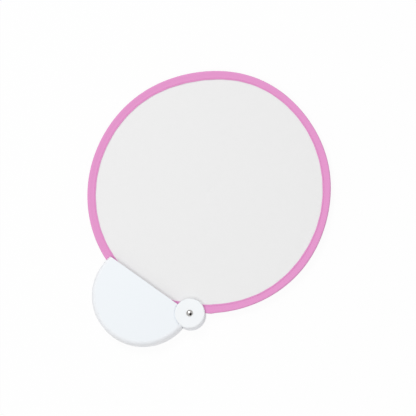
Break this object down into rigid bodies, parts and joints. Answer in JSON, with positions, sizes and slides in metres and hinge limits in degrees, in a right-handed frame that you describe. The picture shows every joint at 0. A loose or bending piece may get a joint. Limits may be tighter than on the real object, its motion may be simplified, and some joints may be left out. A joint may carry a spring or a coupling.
{
  "type": "folding fan",
  "caption": "Round twist-fold hand fan: cloth in a taped spring hoop, clamped in a riveted hub at the corner of a half-moon pocket case that is also its handle.",
  "frame": {"origin": "centre of the case's arc, on the flat back of the case that lies on the table", "axes": "+X along the case's straight side towards the pivot, +Y from the case towards the fan, +Z out of the case's front face"},
  "size_m": [0.2468, 0.2992, 0.0174],
  "materials": {
    "case_plastic": "satin white moulded plastic",
    "hub_plastic": "satin white moulded plastic",
    "bright_steel": "polished plated steel",
    "spring_steel": "blued spring steel strip",
    "nylon": "natural nylon",
    "pink_tape": "woven polyester tape, pink",
    "white_cloth": "fine plain-woven polyester, white",
    "pink_thread": "polyester sewing thread, pink"
  },
  "bodies": {
    "case": {"front_case_shell": "case_plastic", "back_case_shell": "case_plastic", "pivot_rivet": "bright_steel", "rivet_cap": "bright_steel", "front_friction_washer": "nylon", "back_friction_washer": "nylon"},
    "fan": {"front_clip_half": "hub_plastic", "back_clip_half": "hub_plastic", "hoop": "spring_steel", "hoop_ferrule": "bright_steel", "rim_binding": "pink_tape", "fan_cloth": "white_cloth", "front_seam_thread": "pink_thread", "back_seam_thread": "pink_thread"}
  },
  "joints": [
    {"name": "fan_swing", "type": "hinge", "parent": "case", "child": "fan", "pos_m": [0.04995, 0.01135, 0.0082], "axis": [0, 0, 1], "range_deg": [-124, 0]}
  ]
}
